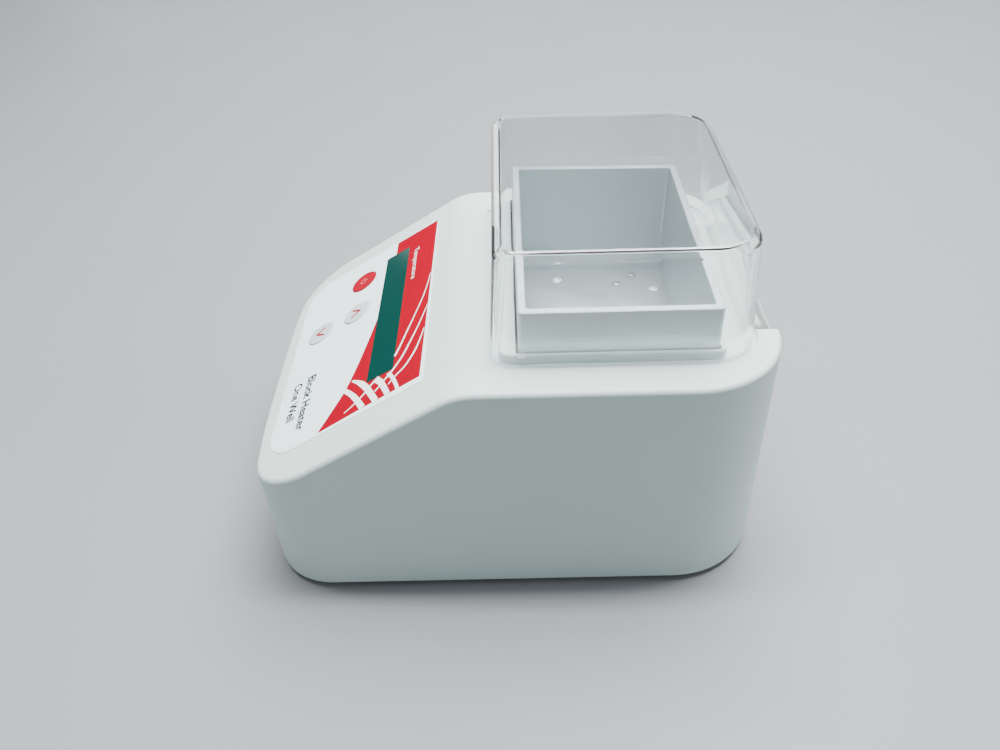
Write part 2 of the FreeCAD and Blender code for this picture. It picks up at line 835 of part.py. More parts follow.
def build_heater():
    under = D["well_floor"] - D["well_base"]
    block("heater_mat", (-30, 31), (13, 61), (under - 1.5, under))
    plate = block("heater_pressure_plate", (-47, 47), (19, 72), (D["clamp_low"], under - 1.5))
    cut_block(plate, (-48, -31.5), (45, 63.3), (D["clamp_low"] - 1, under))
    cut_discs(plate, standoff_places(), 1.6, (D["clamp_low"] - 1, under))
    disc = discs("thermal_cutout", [(14, 43)], 6.5, (D["clamp_low"] - 3.6, D["clamp_low"]))
    add_block(disc, (6, 22), (41, 45), (D["clamp_low"] - 0.8, D["clamp_low"]))
    body = new_body("insulation_jacket")
    low = D["jacket_low"]
    top = D["body_top"] - D["wall"] - 0.3
    add_block(body, (-64, 64), (-3.7, 84.8), (low, top))
    half = D["well_half_width"] + 0.4
    cut_block(body, (-half, half), (D["well_front"] - 0.4, D["well_back"] + 0.4), (low + 8, top + 1))
    cut_discs(body, standoff_places(), 3.8, (low - 1, low + 9))
    cut_discs(body, [(-20, 34)], 3.6, (low - 1, low + 9))
    dress(body, "Fillet", lambda e: upright(e) and abs(abs(e.CenterOfMass.x) - 64) < 0.01, 6)


def build_sensor():
    """Sensor bead clamped across the line between its two screws."""
    (x1, y1), (x2, y2) = clip_places()
    span = math.hypot(x2 - x1, y2 - y1)
    turn = FreeCAD.Rotation(V(0, 0, 1), math.degrees(math.atan2(y2 - y1, x2 - x1)))
    under = number(D["well_floor"] - D["well_base"])
    place = FreeCAD.Placement(V((x1 + x2) / 2, (y1 + y2) / 2, under), turn)
    clip = block("sensor_clip", (-8, 8), (-3, 3), (-4, 0))
    sketch = new_sketch(clip, "XZ_Plane")
    add_outline(sketch, [(-1.65, 1), (-1.65, -1.9), (1.65, -1.9), (1.65, 1)],
                {1: ((0, -3.19), 1.7)})
    pocket(clip, sketch, 10, both=True)
    cut_discs(clip, [(-span / 2, 0), (span / 2, 0)], 1.3, (-5, 1))
    dress(clip, "Fillet", upright_at_end(8), 2)
    clip.Placement = place
    bead = new_body("temperature_sensor")
    sketch = new_sketch(bead, "XZ_Plane")
    add_circle(sketch, 0, -1.6, 1.5)
    pad(bead, sketch, 11, both=True)
    bead.Placement = place
    for item in (clip, bead):
        item.setExpression("Placement.Base.z", "dims.well_floor - dims.well_base")


def upright_at_end(x):
    return lambda e: upright(e) and abs(abs(e.CenterOfMass.x) - x) < 0.01


# ------------------------------------------------------------ control panel

def build_overlay():
    body = new_body("panel_overlay")
    sketch = new_sketch(body)
    left = -D["label_left"]
    right = D["label_right"]
    upper = -D["label_upper"]
    lower = -D["label_lower"]
    add_rectangle(sketch, left, right, lower, upper)
    gap = D["window_gap"]
    add_rectangle(sketch, -D["window_left"] - gap, D["window_right"] + gap,
                  -D["window_lower"] - gap, -D["window_upper"] + gap)
    for x, y in key_places():
        add_circle(sketch, x, y, D["key_radius"] + D["key_gap"])
    pad(body, sketch, D["label_thick"])
    outer = lambda e: upright(e) and (abs(e.CenterOfMass.x - left.number) < 0.01
                                      or abs(e.CenterOfMass.x - right.number) < 0.01)
    low_y = lower.number
    dress(body, "Fillet", lambda e: outer(e) and abs(e.CenterOfMass.y - low_y) < 0.01, D["label_corner"])
    high_y = upper.number
    dress(body, "Fillet", lambda e: outer(e) and abs(e.CenterOfMass.y - high_y) < 0.01,
          D["label_small_corner"])
    on_panel(body)


def build_window():
    body = block("display_window", (-D["window_left"], D["window_right"]),
                 (-D["window_lower"], -D["window_upper"]), (-1.2, D["label_thick"]))
    on_panel(body)


def build_keys():
    """Each key is a cap on a flange that keeps it behind the panel."""
    for label, place in zip(("on_off_key", "up_key", "down_key"), key_places()):
        body = discs(label, [place], D["key_radius"], (-2.9, D["label_thick"] + D["key_rise"]))
        dress(body, "Fillet", level_at((D["label_thick"] + D["key_rise"]).number), 0.35)
        add_discs(body, [place], D["key_radius"] + 1.2, (-4, -2.9))
        add_discs(body, [place], 2, (-6.1, -4))
        on_panel(body)


def build_control_board():
    top = -D["panel_depth"]
    board = block("control_board", (-62, 54), (-87.5, -13.5), (top - D["board_thick"], top))
    cut_discs(board, board_places(), 1.2, (top - D["board_thick"] - 1, top + 1))
    on_panel(board)
    module = block("lcd_module", (-55, 43), (-46, -26), (top, -2.9))
    add_block(module, (-D["window_left"], D["window_right"]),
              (-D["window_lower"], -D["window_upper"]), (-2.9, -1.3))
    on_panel(module)
    switches = new_body("key_switches")
    for x, y in key_places():
        add_block(switches, (x - 3, x + 3), (y - 3, y + 3), (top, top + 2.4))
    add_discs(switches, key_places(), 1.7, (top + 2.4, top + 3.1))
    on_panel(switches)
    low = top - D["board_thick"]
    fixings = screws("control_board_screws", board_places(), 2.2, (low - 1.6, low),
                     1, (low, top + 5), 0.8, down=False)
    on_panel(fixings)
    plug = block("ribbon_plug", (8, 28), (-62, -56), (low - 5, low))
    on_panel(plug)


# --------------------------------------------------------------------- base

def build_base():
    """Base plate inside the lower edge of the housing, with feet and screws."""
    low = D["body_bottom"]
    top = low + D["plate_thick"]
    inset = D["wall"] + D["plate_gap"]
    body = new_body("base_plate")
    plan_block(body, inset, low, D["plate_thick"])
    cut_discs(body, screw_places(), D["screw_radius"] + 0.2, (low - 1, top + 1))
    for i in range(7):
        x = -30 + 10 * i
        cut_block(body, (x - 1.5, x + 1.5), (30, 62), (low - 1, top + 1))
    for i in range(7):
        x = -30 + 10 * i
        cut_block(body, (x - 1.5, x + 1.5), (-82, -66), (low - 1, top + 1))
    feet = discs("rubber_feet", [(x, y) for x in (-54, 54) for y in (-72, 72)],
                 D["foot_radius"], (0, low))
    dress(feet, "Chamfer", level_at(0), 0.6)
    screws("base_screws", screw_places(), 3, (low - 1.6, low),
           D["screw_radius"], (low, low + 12), 1.2, down=False)
    block("rating_label", (-24, 24), (-20, 8), (low - 0.2, low))


# --------------------------------------------------------------- electronics

def spacer_places():
    return [(x, y) for x in (-50, 50) for y in (-58, 12)]


def build_main_board():
    low = D["board_height"]
    top = low + D["board_thick"]
    base = D["body_bottom"] + D["plate_thick"]
    board = block("main_board", (-55, 55), (-62, 16), (low, top))
    cut_discs(board, spacer_places(), 1.6, (low - 1, top + 1))
    body = discs("board_spacers", spacer_places(), 3, (base, low))
    cut_discs(body, spacer_places(), D["screw_radius"], (low - 5, low + 1))
    screws("board_screws", spacer_places(), 2.8, (top, top + 2),
           D["screw_radius"], (low - 5, top), 1.1)
    discs("filter_capacitors", [(-34, -6), (-20, -6)], 5, (top, top + 20))
    discs("alarm_buzzer", [(30, -10)], 6, (top, top + 8))
    block("microcontroller", (2, 16), (-34, -20), (top, top + 1.6))
    terminal = block("terminal_block", (-20, 4), (4, 12), (top, top + 10))
    cut_discs(terminal, [(x, 8) for x in (-17, -11, -5, 1)], 1.8, (top + 6, top + 11))
    sink = block("heat_sink", (26, 46), (2, 8), (top, top + 24))
    for i in range(4):
        x = 28 + 4.6 * i
        add_block(sink, (x - 0.8, x + 0.8), (7, 14.5), (top, top + 24))
    transistor = block("power_transistor", (31, 41), (-2.6, 2), (top + 6, top + 21))
    for x in (33.5, 36, 38.5):
        add_block(transistor, (x - 0.4, x + 0.4), (-0.8, 0), (top, top + 6))
    block("board_plug", (8, 28), (-50, -44), (top, top + 6))


def build_inlet():
    """Panel socket for low-voltage supply, held by a nut behind the wall."""
    outer = D["body_back"] - D["bay_depth"]
    height = D["inlet_height"]
    body = new_body("dc_inlet")
    flange = new_sketch(body, "XZ_Plane", -outer - 2)
    add_circle(flange, 0, height, 8)
    pad(body, flange, 2)
    barrel = new_sketch(body, "XZ_Plane", -outer)
    add_circle(barrel, 0, height, 5.8)
    pad(body, barrel, 14)
    bore = new_sketch(body, "XZ_Plane", -outer - 2)
    add_circle(bore, 0, height, D["inlet_bore"])
    pocket(body, bore, 11, reverse=True)
    centre = new_body("dc_inlet_pin")
    sketch = new_sketch(centre, "XZ_Plane", -outer + 9)
    add_circle(sketch, 0, height, D["inlet_pin"])
    feature = pad(centre, sketch, 9)
    feature.Reversed = True
    nut = new_body("dc_inlet_nut")
    sketch = new_sketch(nut, "XZ_Plane", -outer + D["wall"] + 0.1)
    add_circle(sketch, 0, height, 8.5)
    add_circle(sketch, 0, height, 5.85)
    pad(nut, sketch, 2.5)


def lead(label, path, radius):
    """A round wire along a driven path of straight runs with rounded turns."""
    points = [V(*p) for p in path]
    edges = [Part.makeLine(a, b) for a, b in zip(points, points[1:])]
    wire = Part.Wire(edges)
    start = points[0]
    ring = Part.makeCircle(radius, start, points[1] - start)
    pipe = wire.makePipeShell([Part.Wire([ring])], True, False, 2)
    item = doc.addObject("Part::Feature", label)
    item.Label = label
    item.Shape = pipe
    OUTPUT.append(item)
    return item


def build_leads():
    base = number(D["board_height"] + D["board_thick"])
    lead("heater_leads", [(-18.5, 34, 64), (-18.5, 34, 46), (-11, 8, 30), (-11, 8, base + 6)], 1.2)
    lead("sensor_lead", [(-38.65, 58.73, 65.4), (-35.7, 61.5, 64.9), (-33.4, 57, 61.6), (-21.9, 34, 61.6),
                         (-21.9, 34, 45), (-17, 8, 28), (-17, 8, base + 6)], 0.8)
    back = number(D["body_back"] - D["bay_depth"]) - 14
    lead("inlet_leads", [(0, back, 32), (0, back - 8, 32), (1, 8, 30), (1, 8, base + 6)], 1.2)


def build_ribbon():
    """Flat cable between the two circuit boards."""
    angle = D["slope_deg"]
    depth = D["panel_depth"] + D["board_thick"] + 5
    down = 59
    top_y = -D["bend_front"] - cosine(angle) * down + sine(angle) * depth
    top_z = D["body_top"] - sine(angle) * down - cosine(angle) * depth
    low_z = D["board_height"] + D["board_thick"] + 6
    body = new_body("panel_ribbon")
    sketch = new_sketch(body, "YZ_Plane", 9)
    add_outline(sketch, [
        (top_y - cosine(angle) * 0.4, top_z - sine(angle) * 0.4),
        (top_y + 2.6, top_z - 5.6),
        (-47.4, low_z + 14),
        (-47.4, low_z),
        (-46.6, low_z),
        (-46.6, low_z + 14.4),
        (top_y + 3.6, top_z - 5.4),
        (top_y + cosine(angle) * 0.4, top_z + sine(angle) * 0.4),
    ])
    pad(body, sketch, 18)


build_housing()
build_pins()
build_cover()
build_well()
build_well_fixings()
build_heater()
build_sensor()
build_overlay()
build_window()
build_keys()
build_control_board()
build_base()
build_main_board()
build_inlet()
build_leads()
build_ribbon()
doc.recompute()


def check(item):
    shape = item.Shape
    if "Invalid" in item.State or "Error" in item.State:
        raise RuntimeError("bad state: " + item.Label)
    if shape.isNull() or not shape.isValid() or not shape.Solids:
        raise RuntimeError("bad shape: " + item.Label)


for item in doc.Objects:
    if "Invalid" in item.State or "Error" in item.State:
        raise RuntimeError("bad state: " + item.Label)

os.makedirs("parts", exist_ok=True)
for item in OUTPUT:
    check(item)
    item.Shape.exportStep("parts/%s.step" % item.Label)
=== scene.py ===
import math

import bmesh
import bpy
from mathutils import Matrix, Vector


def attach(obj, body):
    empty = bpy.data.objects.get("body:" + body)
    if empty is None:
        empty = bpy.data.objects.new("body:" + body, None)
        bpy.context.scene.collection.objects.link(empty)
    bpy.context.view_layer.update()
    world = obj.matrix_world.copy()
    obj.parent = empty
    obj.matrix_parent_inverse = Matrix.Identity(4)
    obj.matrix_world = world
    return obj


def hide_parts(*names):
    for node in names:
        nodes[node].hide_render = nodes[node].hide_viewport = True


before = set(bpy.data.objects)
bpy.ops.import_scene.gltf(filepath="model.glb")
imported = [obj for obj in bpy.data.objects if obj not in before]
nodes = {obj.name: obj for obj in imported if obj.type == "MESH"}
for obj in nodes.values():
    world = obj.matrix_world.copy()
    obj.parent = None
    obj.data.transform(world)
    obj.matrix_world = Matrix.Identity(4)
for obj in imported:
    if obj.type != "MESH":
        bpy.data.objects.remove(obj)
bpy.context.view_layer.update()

MM = 0.001
SCENE = bpy.context.scene

# the plane of the sloping panel, in mm: its upper edge and its angle
BEND_Y = -18.0
TOP_Z = 99.8
SLOPE = math.radians(31.35)

# heights out of that plane, in mm: the face of the overlay film and the face of a key
LABEL_Z = 0.20
KEY_Z = 0.55


# ---------------------------------------------------------------- materials

def new_material(name):
    """An empty material with one Principled shader on its output."""
    material = bpy.data.materials.new(name)
    material.use_nodes = True
    tree = material.node_tree
    tree.nodes.clear()
    out = tree.nodes.new("ShaderNodeOutputMaterial")
    shader = tree.nodes.new("ShaderNodeBsdfPrincipled")
    tree.links.new(shader.outputs["BSDF"], out.inputs["Surface"])
    return material, tree, shader


def noise(tree, scale, detail, rough):
    """Noise in the piece's own coordinates, in cycles per metre."""
    coords = tree.nodes.new("ShaderNodeTexCoord")
    texture = tree.nodes.new("ShaderNodeTexNoise")
    texture.inputs["Scale"].default_value = scale
    texture.inputs["Detail"].default_value = detail
    texture.inputs["Roughness"].default_value = rough
    tree.links.new(coords.outputs["Object"], texture.inputs["Vector"])
    return texture.outputs["Fac"]


def ramp(tree, value, low, high, low_at=0.3, high_at=0.7):
    """Map a 0..1 value to a number or a colour between low and high."""
    node = tree.nodes.new("ShaderNodeValToRGB")
    stops = node.color_ramp.elements
    stops[0].position = low_at
    stops[1].position = high_at
    for stop, tone in ((stops[0], low), (stops[1], high)):
        stop.color = (tone, tone, tone, 1) if isinstance(tone, float) else (*tone, 1)
    tree.links.new(value, node.inputs["Fac"])
    return node.outputs["Color"]


def bump(tree, shader, value, strength, distance):
    """Let a 0..1 value raise the surface by up to distance, in metres."""
    node = tree.nodes.new("ShaderNodeBump")
    node.inputs["Strength"].default_value = strength
    node.inputs["Distance"].default_value = distance
    tree.links.new(value, node.inputs["Height"])
    tree.links.new(node.outputs["Normal"], shader.inputs["Normal"])


GLOSS_TO_TONE = 3.1
LEAST_ROUGH = 0.02
GRAIN_STRENGTH = 0.35


def finish(name, colour, rough, metallic=0.0, vary=0.03, tone_scale=18.0, rough_vary=0.05,
           grain=None, grain_depth=0.00002, specular=0.5):
    """A surface with slow tone drift, patchy gloss and, where given, a fine grain."""
    material, tree, shader = new_material(name)
    dark = tuple(max(0.0, c * (1 - vary)) for c in colour)
    light = tuple(min(1.0, c * (1 + vary)) for c in colour)
    tone = ramp(tree, noise(tree, tone_scale, 4.0, 0.55), dark, light)
    tree.links.new(tone, shader.inputs["Base Color"])
    gloss = ramp(tree, noise(tree, tone_scale * GLOSS_TO_TONE, 5.0, 0.6),
                 max(LEAST_ROUGH, rough - rough_vary), min(1.0, rough + rough_vary))
    tree.links.new(gloss, shader.inputs["Roughness"])
    shader.inputs["Metallic"].default_value = metallic
    shader.inputs["Specular IOR Level"].default_value = specular
    if grain:
        bump(tree, shader, noise(tree, grain, 2.0, 0.6), GRAIN_STRENGTH, grain_depth)
    return material


def film(name, colour, rough, vary, specular):
    """The overlay film, or an ink printed on it: both share the film's fine grain."""
    return finish(name, colour, rough, vary=vary, grain=2600.0, grain_depth=0.00001,
                  specular=specular)


HAZE_BELOW = 0.015
HAZE_ABOVE = 0.03
RIPPLE_STRENGTH = 0.006
RIPPLE_DEPTH = 0.0004


def clear_plastic(name, colour, rough, ior, lamp_share):
    """Polished clear plastic. lamp_share of the lamp light passes straight on to what is inside."""
    material, tree, shader = new_material(name)
    shader.inputs["Base Color"].default_value = (*colour, 1)
    shader.inputs["Transmission Weight"].default_value = 1.0
    shader.inputs["IOR"].default_value = ior
    shader.inputs["Coat Weight"].default_value = 1.0
    shader.inputs["Coat IOR"].default_value = 1.8
    shader.inputs["Coat Roughness"].default_value = 0.03
    haze = ramp(tree, noise(tree, 26.0, 4.0, 0.6), max(0.0, rough - HAZE_BELOW),
                rough + HAZE_ABOVE, 0.45, 0.8)
    tree.links.new(haze, shader.inputs["Roughness"])
    bump(tree, shader, noise(tree, 30.0, 1.0, 0.4), RIPPLE_STRENGTH, RIPPLE_DEPTH)
    straight = tree.nodes.new("ShaderNodeBsdfTransparent")
    straight.inputs["Color"].default_value = (lamp_share, lamp_share, lamp_share, 1)
    path = tree.nodes.new("ShaderNodeLightPath")
    mix = tree.nodes.new("ShaderNodeMixShader")
    tree.links.new(path.outputs["Is Shadow Ray"], mix.inputs["Fac"])
    tree.links.new(shader.outputs[0], mix.inputs[1])
    tree.links.new(straight.outputs[0], mix.inputs[2])
    out = next(n for n in tree.nodes if n.type == "OUTPUT_MATERIAL")
    tree.links.new(mix.outputs[0], out.inputs["Surface"])
    return material


SHELL = finish("shell_plastic", (0.515, 0.635, 0.612), 0.50, vary=0.018, tone_scale=9.0,
               grain=1900.0, grain_depth=0.00003)
BASE = finish("base_plastic", (0.40, 0.42, 0.40), 0.55, grain=1500.0)
OVERLAY = film("overlay_film", (0.76, 0.88, 0.90), 0.42, vary=0.012, specular=0.4)
INK_RED = film("ink_red", (0.27, 0.0, 0.012), 0.50, vary=0.04, specular=0.0)
INK_WHITE = film("ink_white", (0.80, 0.83, 0.80), 0.45, vary=0.015, specular=0.3)
INK_DARK = film("ink_dark", (0.002, 0.010, 0.016), 0.50, vary=0.06, specular=0.05)
INK_PINK = film("ink_pink", (0.62, 0.08, 0.11), 0.50, vary=0.04, specular=0.15)
KEY_RED = finish("key_red", (0.29, 0.0, 0.013), 0.45, grain=2200.0, specular=0.03)
KEY_GREY = finish("key_grey", (0.47, 0.54, 0.545), 0.45, grain=2200.0)
DISPLAY = finish("display_green", (0.0, 0.033, 0.027), 0.10, vary=0.06, tone_scale=30.0,
                 rough_vary=0.02, specular=0.05)
WELL = finish("well_aluminium", (0.49, 0.56, 0.57), 0.38, metallic=0.85, tone_scale=22.0,
              grain=1400.0, rough_vary=0.06)
STEEL = finish("screw_steel", (0.80, 0.80, 0.79), 0.24, metallic=1.0, vary=0.06, tone_scale=240.0)
ZINC = finish("screw_zinc", (0.96, 0.98, 0.98), 0.22, metallic=0.4, vary=0.05, tone_scale=240.0)
RUBBER = finish("foot_rubber", (0.018, 0.018, 0.018), 0.75, vary=0.1, grain=1200.0)
BLACK = finish("black_plastic", (0.022, 0.022, 0.024), 0.42, vary=0.08, grain=1500.0)
BOARD = finish("solder_mask", (0.012, 0.13, 0.05), 0.34, vary=0.08, tone_scale=60.0)
BRASS = finish("brass", (0.70, 0.52, 0.24), 0.30, metallic=1.0, vary=0.05)
SILICONE = finish("silicone", (0.50, 0.13, 0.05), 0.60, vary=0.05, grain=900.0)
FOAM = finish("foam", (0.10, 0.10, 0.10), 0.95, vary=0.25, tone_scale=400.0, grain=700.0,
              grain_depth=0.0003)
LEAD = finish("lead_insulation", (0.42, 0.42, 0.43), 0.50, vary=0.05)
TERMINAL = finish("terminal_green", (0.03, 0.28, 0.09), 0.40, vary=0.05)
PAPER = finish("plate_label", (0.62, 0.63, 0.63), 0.45, vary=0.02)
CLEAR = clear_plastic("cover_clear", (0.99, 1.0, 1.0), 0.012, 1.26, 0.78)
# painted shade: the cut rim of the clear cover is opaque grey, standing in for the dark line where
# the cover meets the housing
RIM_PAINTED_SHADE = finish("cover_rim_painted_shade", (0.36, 0.43, 0.46), 0.35, tone_scale=90.0, grain=1500.0)
FROST = clear_plastic("cover_frosted", (0.97, 0.99, 0.99), 0.30, 1.35, 0.6)

NODE_FINISH = {
    SHELL: ["housing_cover"],
    BASE: ["base_plate"],
    OVERLAY: ["panel_overlay"],
    DISPLAY: ["display_window", "lcd_module"],
    WELL: ["block_well", "sensor_clip", "heat_sink"],
    ZINC: ["well_floor_screws"],
    STEEL: ["sensor_clip_screws", "base_screws", "board_screws",
            "control_board_screws", "well_standoffs", "heater_pressure_plate",
            "temperature_sensor", "hinge_pins"],
    RUBBER: ["rubber_feet"],
    BLACK: ["dc_inlet", "dc_inlet_nut", "key_switches", "ribbon_plug", "board_plug",
            "filter_capacitors", "alarm_buzzer", "microcontroller", "power_transistor",
            "thermal_cutout"],
    BOARD: ["control_board", "main_board"],
    BRASS: ["board_spacers", "dc_inlet_pin"],
    SILICONE: ["heater_mat", "heater_leads"],
    FOAM: ["insulation_jacket"],
    LEAD: ["sensor_lead", "inlet_leads", "panel_ribbon"],
    TERMINAL: ["terminal_block"],
    PAPER: ["rating_label"],
    KEY_RED: ["on_off_key"],
    KEY_GREY: ["up_key", "down_key"],
    CLEAR: ["lid_cover"],
}

for material, names in NODE_FINISH.items():
    for node in names:
        nodes[node].data.materials.clear()
        nodes[node].data.materials.append(material)


# ------------------------------------------------------------- mesh helpers

def to_object(name, bm, material, smooth_deg):
    """An object from a bmesh, shaded smooth below smooth_deg and sharp above it."""
    bmesh.ops.recalc_face_normals(bm, faces=bm.faces)
    mesh = bpy.data.meshes.new(name)
    bm.to_mesh(mesh)
    bm.free()
    mesh.materials.append(material)
    item = bpy.data.objects.new(name, mesh)
    SCENE.collection.objects.link(item)
    for face in mesh.polygons:
        face.use_smooth = True
    mesh.set_sharp_from_angle(angle=math.radians(smooth_deg))
    return item


def bridge(bm, low, high):
    """Quads between two closed rows of vertices."""
    faces = []
    for i in range(len(low)):
        j = (i + 1) % len(low)
        faces.append(bm.faces.new((low[i], low[j], high[j], high[i])))
    return faces


def prism(bm, near_points, far_points):
    """A closed solid between two matching outlines."""
    near = [bm.verts.new(point) for point in near_points]
    far = [bm.verts.new(point) for point in far_points]
    bm.faces.new(near)
    bm.faces.new(far)
    bridge(bm, near, far)


def at_x(x, outline):
    """An outline of (y, z) in mm, placed at x in mm."""
    return [Vector((x, y, z)) * MM for y, z in outline]


def on_slope(x, s, z):
    """Millimetres on the panel (right, down the slope, out of it) to the row frame."""
    y = BEND_Y - s * math.cos(SLOPE) - z * math.sin(SLOPE)
    height = TOP_Z - s * math.sin(SLOPE) + z * math.cos(SLOPE)
    return Vector((x, y, height)) * MM


def print_on_panel(name, outlines, low, high, material, body):
    """Thin printed shapes on the slope, each outline a list of (x, s)."""
    bm = bmesh.new()
    for outline in outlines:
        bottom = [on_slope(x, s, low) for x, s in outline]
        top = [on_slope(x, s, high) for x, s in outline]
        prism(bm, bottom, top)
    item = to_object(name, bm, material, 20.0)
    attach(item, body)


def curve_points(points, steps=10):
    """Catmull-Rom points through the given ones."""
    padded = [points[0]] + list(points) + [points[-1]]
    out = []
    for i in range(1, len(padded) - 2):
        p0, p1, p2, p3 = (Vector(p) for p in padded[i - 1:i + 3])
        for k in range(steps):
            t = k / steps
            a = 2 * p1
            b = (p2 - p0) * t
            c = (2 * p0 - 5 * p1 + 4 * p2 - p3) * t * t
            d = (3 * p1 - p0 - 3 * p2 + p3) * t ** 3
            out.append((a + b + c + d) * 0.5)
    out.append(Vector(padded[-2]))
    return out


def ribbon(points, widths):
    """Outline of a band that follows a curve, its width changing evenly along it."""
    line = curve_points(points)
    left, right = [], []
    last = len(line) - 1
    for i, p in enumerate(line):
        q = line[min(i + 1, last)] - line[max(i - 1, 0)]
        side = Vector((-q.y, q.x)).normalized()
        place = (len(widths) - 1) * i / last
        k = min(int(place), len(widths) - 2)
        half = (widths[k] + (widths[k + 1] - widths[k]) * (place - k)) / 2
        left.append(p + side * half)
        right.append(p - side * half)
    return [(p.x, p.y) for p in left + right[::-1]]


ARC_STEPS = 40


def arc(cx, cs, radius, start, end):
    """Points on an arc round (cx, cs), its angles in radians from straight up the slope."""
    return [(cx + radius * math.sin(start + (end - start) * i / ARC_STEPS),
             cs - radius * math.cos(start + (end - start) * i / ARC_STEPS))
            for i in range(ARC_STEPS + 1)]


# ------------------------------------------------------------ printed panel

# left, right, upper and lower edge of the display window, as x and s in mm
WINDOW = (-52.0, 40.0, 29.6, 42.5)

# in mm: how far print sinks into the face under it, and how far it stands out of that face
FIELD_SINK = 0.01
FIELD_RISE = 0.03
MARK_DEPTH = 0.02
WORD_SINK = 0.02
WORD_RISE = 0.05

# the lines start inside the red field, and each ends a step higher than the one before
LINE_FOOT = 0.01
LINE_RISE = 0.045
LINE_STEP = 0.002

# height of a capital letter as a share of the font's size
CAP_SHARE = 0.70


def build_red_field():
    """The red field above the display and round its right end."""
    left, right, upper, lower = WINDOW
    edge = curve_points([(-3.4, lower), (12.0, 46.0), (23.6, 48.9), (36.2, 52.8), (45.0, 57.3),
                         (56.2, 64.0)], 6)
    outline = [(-62.2, 14.6), (-62.4, 37.4), (left, 37.4), (left, upper), (right, upper),
               (right, lower)]
    outline += [(p.x, p.y) for p in edge]
    outline += [(55.0, 43.9), (53.9, 16.0)]
    print_on_panel("print_red_field", [outline], LABEL_Z - FIELD_SINK, LABEL_Z + FIELD_RISE,
                   INK_RED, "base")


def build_white_lines():
    """Three thin lines down past the display, a fourth below it and four bands across them."""
    strokes = [
        ([(-17.2, 15.5), (-2.9, 18.0), (9.5, 21.7), (19.0, 24.9), (25.5, 27.0), (32.0, 29.5)],
         (0.4, 0.7, 1.1)),
        ([(7.1, 15.6), (17.6, 18.8), (24.9, 21.5), (29.2, 23.2), (35.3, 25.9), (41.2, 30.0),
          (44.0, 32.8), (46.7, 35.2), (48.5, 37.3)], (0.4, 0.9, 1.1, 0.8)),
        ([(23.0, 16.1), (30.8, 18.0), (36.0, 19.8), (42.2, 23.6), (45.7, 28.0), (48.5, 30.9)],
         (0.4, 0.9, 0.9, 0.5)),
        ([(40.4, 36.6), (43.5, 40.2), (46.0, 42.3), (48.2, 44.6), (50.2, 47.5), (52.3, 51.4)],
         (1.1, 0.9, 0.5)),
        ([(36.6, 54.2), (42.2, 49.6), (47.7, 46.1), (54.7, 42.4)], (2.0, 2.4, 2.7)),
        ([(33.4, 50.3), (37.6, 45.9), (42.4, 42.5), (48.1, 39.4), (54.6, 36.2)],
         (0.8, 2.7, 2.7, 2.6)),
        ([(40.6, 37.8), (44.2, 35.2), (48.4, 33.1), (54.4, 30.6)], (2.9, 2.5, 2.3)),
        ([(41.2, 31.6), (45.9, 29.1), (49.7, 27.5), (54.2, 26.0)], (1.7, 1.6, 1.5)),
    ]
    for i, (points, widths) in enumerate(strokes):
        print_on_panel("print_line_%02d" % i, [ribbon(points, widths)], LABEL_Z + LINE_FOOT,
                       LABEL_Z + LINE_RISE + LINE_STEP * i, INK_WHITE, "base")


def build_power_mark(x, s):
    """An open ring with a bar in its gap, on the on and off key."""
    gap = 0.7
    outer = arc(x, s, 1.9, gap, 2 * math.pi - gap)
    inner = arc(x, s, 1.35, gap, 2 * math.pi - gap)
    half = 0.28
    top = s - 2.3
    foot = s - 0.2
    bar = [(x - half, top), (x + half, top), (x + half, foot), (x - half, foot)]
    print_on_panel("power_mark", [outer + inner[::-1], bar], KEY_Z - MARK_DEPTH,
                   KEY_Z + MARK_DEPTH, INK_PINK, "on_off")


def build_chevron(name, body, x, s, way):
    """A chevron on a key. It points up the slope where way is 1 and down it where way is -1."""
    legs = [(-3.4, 2.5), (-0.35, -2.6), (0.35, -2.6), (3.4, 2.5), (2.1, 2.5), (0.0, -0.9),
            (-2.1, 2.5)]
    outline = [(x + dx, s + way * ds) for dx, ds in legs]
    print_on_panel(name, [outline], KEY_Z - MARK_DEPTH, KEY_Z + MARK_DEPTH, INK_RED, body)


def letters(name, text, x, s, width, cap, ink, weight):
    """One line of plain lettering on the overlay, its left end at x and baseline at s."""
    font = bpy.data.curves.new(name + "_font", "FONT")
    font.body = text
    font.size = 1.0
    font.offset = weight
    # any thickness does: front and back are set to their own heights below
    font.extrude = 0.5
    font.resolution_u = 3
    holder = bpy.data.objects.new(name + "_font", font)
    SCENE.collection.objects.link(holder)
    bpy.context.view_layer.update()
    graph = bpy.context.evaluated_depsgraph_get()
    mesh = bpy.data.meshes.new_from_object(holder.evaluated_get(graph))
    bpy.data.objects.remove(holder)
    xs = [v.co.x for v in mesh.vertices]
    left = min(xs)
    wide = width / (max(xs) - left)
    tall = cap / CAP_SHARE
    for vertex in mesh.vertices:
        u, v, w = vertex.co
        height = LABEL_Z + (WORD_RISE if w > 0 else -WORD_SINK)
        vertex.co = on_slope(x + (u - left) * wide, s - v * tall, height)
    mesh.materials.clear()
    mesh.materials.append(ink)
    item = bpy.data.objects.new(name, mesh)
    SCENE.collection.objects.link(item)
    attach(item, "base")


build_red_field()
build_white_lines()
build_power_mark(-43.7, 55.2)
build_chevron("up_mark", "up", -18.9, 56.0, 1)
build_chevron("down_mark", "down", -18.4, 76.3, -1)
letters("print_word_upper", "Block Heater", 13.0, 76.9, 34.5, 4.3, INK_DARK, 0.022)
letters("print_word_lower", "One Well", 14.0, 84.0, 24.0, 4.3, INK_DARK, 0.022)
letters("print_word_field", "Temperature", -47.0, 26.4, 26.0, 2.5, INK_WHITE, 0.0)


# -------------------------------------------------------------- clear cover

